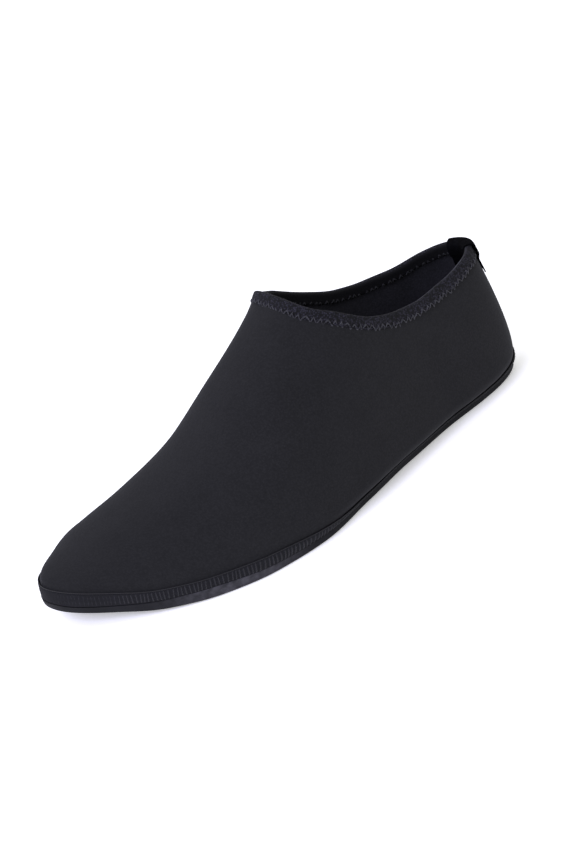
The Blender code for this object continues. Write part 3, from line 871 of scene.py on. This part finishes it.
class WATERSHOE_OT_binding_stitches(bpy.types.Operator):
    """Zigzag coverstitch along the lower edge of the binding, outside and inside"""

    bl_idname = "watershoe.binding_stitches"
    bl_label = "Binding stitches"

    def execute(self, context):
        sizes = context.scene.water_shoe_binding
        rim, out, up, total = rim_frames()
        count = int(total / sizes.pitch)
        for name, inner in (("stitches_outside", False), ("stitches_inside", True)):
            label = "coverstitch_thread_inside" if inner else "coverstitch_thread"
            item = make_piece(name, label)
            paths = []
            for phase, low, high, lift in STITCH_ROWS:
                steps = np.arange(count * 16) / 16 + phase
                at = (steps + 0.13 * np.sin(steps * 1.9) + 0.09 * np.sin(steps * 4.3)) * total / count
                swing = np.abs((steps % 1) * 2 - 1)
                swing = np.clip(0.5 + 1.12 * (swing - 0.5), 0, 1)
                uneven = 0.24 * np.sin(at / 0.0051) + 0.22 * np.sin(at / 0.0019)
                depth = (high + (low - high) * swing + uneven) * MM
                over = np.clip((BINDING_DROP + 0.0002 - depth) / 0.0008, 0, 1)
                away = by_run(out, at, total)
                rise = by_run(up, at, total)
                base = by_run(rim, at, total)
                # The thread dives into the cloth at the turns of the zigzag
                dive = 0.9 * sizes.thread * np.abs(2 * swing - 1) ** 6
                height = 0.7 * sizes.thread + lift * MM - dive
                if inner:
                    across = -WALL - (over * (1.5 * GAP + BINDING_THICK) + height)
                else:
                    across = over * (OVER_SKIN + sizes.thick) - pressed(depth) + height
                points = base + away * np.reshape(across, (-1, 1)) - rise * depth[:, None]
                paths.append((points, -away if inner else away))
            thread_mesh(item, paths, sizes.thread, 5, joined=True)
        return {"FINISHED"}


# Thread rows of the zigzag: place in its length, lowest and highest point in mm, lift in mm
STITCH_ROWS = ((0.0, 5.2, 2.7, 0.0), (0.58, 4.9, 3.1, 0.10))


# Sections of the seam band, and points round its bed, its rows of threads and its cord
BAND_STATIONS, BED_POINTS, ROW_POINTS, CORD_POINTS = 260, 760, 1600, 1500


def band_start(turn, side, offset):
    """Length up the skin where a surface at this offset clears the sole's top."""
    tries = np.linspace(0.0001, BAND_WIDTH * 0.8, 40)
    up = np.broadcast_to(tries[None], (len(turn), len(tries)))
    points = over_skin(turn, side, up, offset)
    heights = points[..., 2] - (base_height(turn) + RIM_HEIGHT)[:, None]
    heights = np.maximum.accumulate(heights, axis=1)
    return np.array([np.interp(0.0, h, tries) for h in heights])


# How far the rubber's edge comes up over the seam, along the shoe
LIP = np.array(
    [
        # share, height
        [0.00, 0.0],
        [0.60, 0.0],
        [0.70, 0.0007],
        [0.79, 0.0017],
        [0.87, 0.0012],
        [0.94, 0.0002],
        [1.00, 0.0],
    ]
)


def band_loops(turn, lines, lip=1.0):
    """Closed loops on the seam band: share up the band and offset from the skin for each."""
    loops = []
    over = lip * read(LIP, 1, share_of(turn))
    starts = {side: band_start(turn, side, GAP + BAND_THICK) + over for side in (1, -1)}
    for share, offset in lines:

        def find(turns, side):
            up = starts[side] + (BAND_WIDTH - starts[side]) * share
            return over_skin(turns, side, up, offset)

        loops.append(around(turn, find))
    return loops


class WATERSHOE_OT_seam(bpy.types.Operator):
    """Flatlock seam all round the shoe: its bed, its crossing threads and its edge cord"""

    bl_idname = "watershoe.seam"
    bl_label = "Seam"

    def execute(self, context):
        sizes = context.scene.water_shoe_seam
        turn = turn_of(share_of(np.linspace(0, 1, BAND_STATIONS)))
        inside, outside = GAP, GAP + BAND_THICK
        bed = outside - 0.4 * sizes.thread
        lines = [(0.0, inside), (0.5, inside), (1.0, inside), (1.0, inside + 0.0002)]
        lines += [(0.96, bed - 0.0001), (0.85, bed), (0.5, bed + 0.0001), (0.15, bed)]
        lines += [(0.03, bed - 0.0001), (0.0, inside + 0.0002)]
        item = make_piece("seam_bed", "seam_ground_cloth", ["seam_band"])
        loops, _ = even_loops(band_loops(turn, lines), BED_POINTS)
        across = np.linspace(0, 0.014, len(lines) + 1)
        fill_mesh(item, [loop_sheet(loops + loops[:1], across)])
        levels = np.linspace(0.02, 0.97, 7)
        bulge = bed + sizes.thread * (-0.25 + 0.32 * np.sin(math.pi * levels))
        bulge[0] = bulge[-1] = bed - 0.8 * sizes.thread
        runs, total = even_loops(band_loops(turn, zip(levels, bulge)), ROW_POINTS)
        inner, _ = even_loops(band_loops(turn, zip(levels, bulge - 0.0005)), ROW_POINTS)
        count = int(total / sizes.pitch)
        at = np.arange(count) * total / count
        at = at + sizes.pitch * (0.12 * np.sin(at / 0.0033) + 0.10 * np.sin(at / 0.0013))
        paths = []
        for place in at:
            points, away = [], []
            slant = sizes.slant * (1 + 0.5 * math.sin(place / 0.0021))
            for level, loop, low in zip(levels, runs, inner):
                here = place + slant * (0.5 - level)
                points.append(by_run(loop, here, total))
                away.append(points[-1] - by_run(low, here, total))
            points, away = np.array(points), unit(np.array(away))
            # Round the tip of the toe the threads are pulled down flat into the bed
            flat = np.clip((points[:, :1] / LENGTH - 0.86) / 0.08, 0, 1) * 0.00034
            paths.append((points - flat * away, away))
        item = make_piece("seam_threads", "flatlock_thread")
        thread_mesh(item, paths, sizes.thread)
        # Line of thread along the upper edge, sunk into the jersey
        cord = band_loops(turn, [(1.03, bed - 0.0003), (1.03, bed - 0.0008)])
        (loop, low), _ = even_loops(cord, CORD_POINTS)
        item = make_piece("seam_cord", "gimp_cord")
        thread_mesh(item, [(loop, unit(loop - low))], 0.6 * sizes.thread, joined=True)
        return {"FINISHED"}


def plan_inset(loop, inset):
    """A loop moved in by a distance in plan."""
    along = np.roll(loop, -1, 0) - np.roll(loop, 1, 0)
    inward = np.stack([along[:, 1], -along[:, 0], np.zeros(len(loop))], 1)
    return loop + np.reshape(inset, (-1, 1)) * unit(inward)


def floor_loop(turn):
    """Height of the underside round the shoe."""
    return around(turn, lambda turns, side: np.repeat(base_height(turns)[:, None], 3, 1))[:, 2]


def edge_levels(outline, floor, thick, edge, inset=0.0):
    """Level rings of a sheet's edge: how far each is set in, and its share of the thickness."""
    levels = []
    for further, part in edge:
        level = plan_inset(outline, inset + further)
        level[:, 2] = floor + thick * part
        levels.append(level)
    return levels


def from_sides(grid):
    """Distance of a sheet's points from the nearer end of their row."""
    width = np.linalg.norm(grid[:, 0] - grid[:, -1], axis=-1)[:, None]
    across = np.linalg.norm(grid - grid[:, :1], axis=-1)
    return np.minimum(across, width - across)


def sheet_across(ring, columns, relief=None):
    """A grid from one side of a level ring to the other, with an optional height over it."""
    count = len(ring)
    half = count // 2
    port = ring[: half + 1]
    star = np.concatenate([ring[:1], ring[half:][::-1]])
    t = (1 - np.cos(np.linspace(0, math.pi, columns))) / 2 * 0.35 + 0.65 * np.linspace(0, 1, columns)
    grid = port[:, None] * (1 - t)[None, :, None] + star[:, None] * t[None, :, None]
    if relief is not None:
        grid[..., 2] += relief(grid)
    return grid, grid[..., :2].copy()


class WATERSHOE_OT_sole(bpy.types.Operator):
    """Thin rubber sole with a rounded edge and a shallow wavy tread"""

    bl_idname = "watershoe.sole"
    bl_label = "Sole"

    def execute(self, context):
        sizes = context.scene.water_shoe_sole
        share = np.concatenate([np.linspace(0, 1, 430), share_of(np.linspace(0, 1, 170))])
        turn = turn_of(np.unique(np.round(share, 4)))
        outside = GAP + BAND_THICK
        outline = band_loops(turn, [(0.0, outside)], lip=0.0)[0]
        edge = [(0.0016, 0.0), (0.0012, 0.015), (0.0008, 0.05), (0.0004, 0.13), (0.0001, 0.26)]
        edge += [(0.0, 0.42), (0.0, 0.85), (0.0004, 0.97), (0.0006, 1.0)]
        levels = edge_levels(outline, floor_loop(turn), SOLE_THICK, edge)
        # The lip over the seam comes between the edge's side and its rounded top
        levels[7:7] = [band_loops(turn, [(0.0, outside)], lip=part)[0] for part in (0.6, 0.9)]
        levels[9:9] = band_loops(turn, [(0.0, outside - 0.0002), (0.0, outside - 0.0005)])
        edge[7:7] = [(0.0, 0.9), (0.0, 1.0), (0.0, 1.1), (0.0, 1.2)]
        item = make_piece("rubber_sole", "moulded_rubber", ["sole"])
        pitch, depth = sizes.groove_pitch, sizes.groove_depth

        def tread(grid):
            # Wavy grooves across the foot, fading out short of the edge
            run = grid[..., 0] + 0.0016 * np.sin(grid[..., 1] * math.tau / 0.013)
            groove = np.clip(np.cos(run * math.tau / pitch) * 1.9 - 0.75, 0, 1)
            ends = np.minimum(grid[..., 0] - 0.0095, LENGTH + 0.0005 - grid[..., 0])
            fade = np.clip((np.minimum(from_sides(grid), ends) - 0.004) / 0.0015, 0, 1)
            return depth * groove * fade

        bottom = sheet_across(levels[0], 96, tread)
        top = sheet_across(levels[-1], 12)
        wall = loop_sheet(levels, [SOLE_THICK * part for _, part in edge])
        fill_mesh(item, [wall, bottom, top])
        return {"FINISHED"}


DISH_DEPTH = 0.0005
DISH_REACH = 0.012


class WATERSHOE_OT_insole(bpy.types.Operator):
    """Foam sock liner, slightly dished by the foot"""

    bl_idname = "watershoe.insole"
    bl_label = "Insole"

    def execute(self, context):
        turn = turn_of(share_of(np.linspace(0, 1, 150)))
        outline = around(turn, lambda turns, side: on_skin(turns, side, np.zeros(len(turns))))
        edge = [(0.0003, 0.0), (0.00005, 0.12), (0.0, 0.4), (0.0, 0.7), (0.0002, 0.92), (0.0006, 1.0)]
        floor = floor_loop(turn) + RIM_HEIGHT
        levels = edge_levels(outline, floor, INSOLE_THICK, edge, INSOLE_INSET)

        def dish(grid):
            return -DISH_DEPTH * ease(np.clip(from_sides(grid) / DISH_REACH, 0, 1))

        item = make_piece("sock_liner", "brushed_sock_liner", ["insole"])
        wall = loop_sheet(levels, [INSOLE_THICK * part for _, part in edge])
        fill_mesh(item, [wall, sheet_across(levels[0], 10), sheet_across(levels[-1], 30, dish)])
        return {"FINISHED"}


class WATERSHOE_OT_heel_tab(bpy.types.Operator):
    """Woven tape folded over the binding at the centre of the heel"""

    bl_idname = "watershoe.heel_tab"
    bl_label = "Heel tab"

    def execute(self, context):
        item = make_piece("heel_tape", "woven_polyester_tape", ["heel_tab"])
        fine = turn_of(np.linspace(0, 0.25, 240) ** 2)
        rim = on_skin(fine, 1, rim_length(fine, 1))
        half = np.interp(np.linspace(0, TAB_WIDTH / 2, 22), run_along(rim), fine)
        cover = 2.5 * GAP + BINDING_THICK
        crest = 3 * GAP + BINDING_THICK
        over = cover + TAB_THICK
        lower = GAP + TAB_THICK
        step, fall = 0.4 * TAB_THICK, 3 * TAB_THICK
        middle = -WALL / 2

        def fold(reach, height, angles):
            waves = [(math.cos(angle), math.sin(angle)) for angle in angles]
            return [(middle + (reach - middle) * wide, -height * high**ROUND) for wide, high in waves]

        inside = fold(cover, crest, np.linspace(0, math.pi, 9))
        outside = fold(over, crest + TAB_THICK, np.linspace(math.pi, 0, 13))
        profile = [(GAP, TAB_DROP_OUTSIDE), (GAP, BINDING_DROP + fall), (cover, BINDING_DROP + step)]
        profile += inside
        profile += [(-WALL - cover, BINDING_DROP + step), (-WALL - GAP, BINDING_DROP + fall)]
        profile += [(-WALL - GAP, TAB_DROP_INSIDE), (-WALL - lower, TAB_DROP_INSIDE)]
        profile += [(-WALL - lower, BINDING_DROP + fall + 3 * step)]
        profile += [(-WALL - 0.5 * (lower + over), BINDING_DROP + 0.7 * fall)]
        profile += [(-WALL - over, BINDING_DROP)]
        profile += outside
        profile += [(over, BINDING_DROP), (0.5 * (lower + over), BINDING_DROP + 0.7 * fall)]
        profile += [(lower, BINDING_DROP + fall + 3 * step), (lower, TAB_DROP_OUTSIDE)]

        def find(turns, side):
            rim_at = rim_length(turns, side)
            lines = [over_skin(turns, side, rim_at - depth, offset) for offset, depth in profile]
            return np.stack(lines, 1)

        sections = np.concatenate([find(half, 1)[::-1], find(half, -1)[1:]])
        sections = np.concatenate([sections, sections[:, :1]], 1)
        across = np.linspace(-TAB_WIDTH / 2, TAB_WIDTH / 2, len(sections))
        pattern = pattern_over(across, run_along(np.array(profile + profile[:1])))
        fill_mesh(item, [(sections, pattern)], [sections[0, :-1], sections[-1, :-1]])
        return {"FINISHED"}


class WATERSHOE_OT_stage(bpy.types.Operator):
    """Pale floor, soft lights and the camera"""

    bl_idname = "watershoe.stage"
    bl_label = "Stage"

    def execute(self, context):
        scene = context.scene
        mesh = bpy.data.meshes.new("floor")
        work = bmesh.new()
        bmesh.ops.create_circle(work, cap_ends=True, segments=96, radius=FLOOR_RADIUS)
        work.to_mesh(mesh)
        work.free()
        floor = bpy.data.objects.new("floor", mesh)
        floor.location.z = -FLOOR_DROP
        scene.collection.objects.link(floor)
        mesh.materials.append(bpy.data.materials["opal_acrylic_sheet"])
        world = bpy.data.worlds.new("studio")
        world.use_nodes = True
        sky = world.node_tree.nodes["Background"]
        sky.inputs["Color"].default_value = (1, 1, 1, 1)
        sky.inputs["Strength"].default_value = SKY_STRENGTH
        scene.world = world
        for name, place, size, power, colour in LIGHTS:
            data = bpy.data.lights.new(name, "AREA")
            data.shape = "DISK"
            data.size = size
            data.energy = power
            data.color = linear(colour)
            light = bpy.data.objects.new(name, data)
            light.location = place
            aim = Vector(LIGHT_AIM) - Vector(place)
            light.rotation_euler = aim.to_track_quat("-Z", "Y").to_euler()
            scene.collection.objects.link(light)
        place_camera(scene)
        scene.view_settings.view_transform = "Standard"
        return {"FINISHED"}


# Lights: place in metres, size in metres, power in watts and colour
LIGHTS = (
    ("key", (0.90, 0.60, 0.95), 0.9, 14.5, "#DCDCFF"),
    ("fill", (-0.9, 0.9, 0.7), 1.2, 0.3, "#FFFFFF"),
    ("rim", (0.5, -0.9, 0.75), 0.7, 3.5, "#E0E0FF"),
)

LIGHT_AIM = (0, 0, 0.03)
SKY_STRENGTH = 0.8
FLOOR_RADIUS = 6.0
FLOOR_DROP = 0.00005


def place_camera(scene):
    """The photograph's camera."""
    turn, rise, roll = CAMERA_TURN, CAMERA_RISE, CAMERA_ROLL
    back = Vector((math.sin(turn) * math.cos(rise), math.cos(turn) * math.cos(rise), math.sin(rise)))
    right = Vector((-math.cos(turn), math.sin(turn), 0))
    up = back.cross(right)
    across = right * math.cos(roll) - up * math.sin(roll)
    upright = right * math.sin(roll) + up * math.cos(roll)
    data = bpy.data.cameras.new("camera")
    data.sensor_width = SENSOR
    data.lens = CAMERA_SCALE * CAMERA_DISTANCE / MM / FRAME_HEIGHT * SENSOR
    data.shift_x = (FRAME_WIDTH / 2 - AIM_PIXEL[0]) / FRAME_HEIGHT
    data.shift_y = (AIM_PIXEL[1] - FRAME_HEIGHT / 2) / FRAME_HEIGHT
    data.clip_start = 0.05
    data.clip_end = 30
    camera = bpy.data.objects.new("camera", data)
    place = Vector(CAMERA_AIM) + back * CAMERA_DISTANCE
    axes = Matrix((across, upright, back)).transposed()
    camera.matrix_world = Matrix.Translation(place) @ axes.to_4x4()
    scene.collection.objects.link(camera)
    scene.camera = camera


class WATERSHOE_PT_panel(bpy.types.Panel):
    """Buttons for the pieces of the water shoe"""

    bl_label = "Water Shoe"
    bl_idname = "WATERSHOE_PT_panel"
    bl_space_type = "VIEW_3D"
    bl_region_type = "UI"
    bl_category = "Water Shoe"

    def draw(self, context):
        for operator in OPERATORS:
            self.layout.operator(operator.bl_idname)
        for name in GROUPS:
            box = self.layout.box()
            group = getattr(context.scene, name)
            for key in group.__annotations__:
                box.prop(group, key)


GROUPS = {
    "water_shoe_upper": UpperSizes,
    "water_shoe_binding": BindingSizes,
    "water_shoe_seam": SeamSizes,
    "water_shoe_sole": SoleSizes,
    "water_shoe_look": ShoeLook,
}
OPERATORS = (
    WATERSHOE_OT_stage,
    WATERSHOE_OT_upper,
    WATERSHOE_OT_sole,
    WATERSHOE_OT_insole,
    WATERSHOE_OT_collar_binding,
    WATERSHOE_OT_binding_stitches,
    WATERSHOE_OT_seam,
    WATERSHOE_OT_heel_tab,
)


def register():
    for group in (*GROUPS.values(), *OPERATORS, WATERSHOE_PT_panel):
        bpy.utils.register_class(group)
    for name, group in GROUPS.items():
        setattr(bpy.types.Scene, name, PointerProperty(type=group))


def unregister():
    for name in GROUPS:
        delattr(bpy.types.Scene, name)
    for group in (WATERSHOE_PT_panel, *reversed(OPERATORS), *reversed(GROUPS.values())):
        bpy.utils.unregister_class(group)


def main():
    register()
    make_materials()
    for operator in OPERATORS:
        family, name = operator.bl_idname.split(".")
        getattr(getattr(bpy.ops, family), name)()
    bpy.context.view_layer.update()


if __name__ == "__main__":
    main()
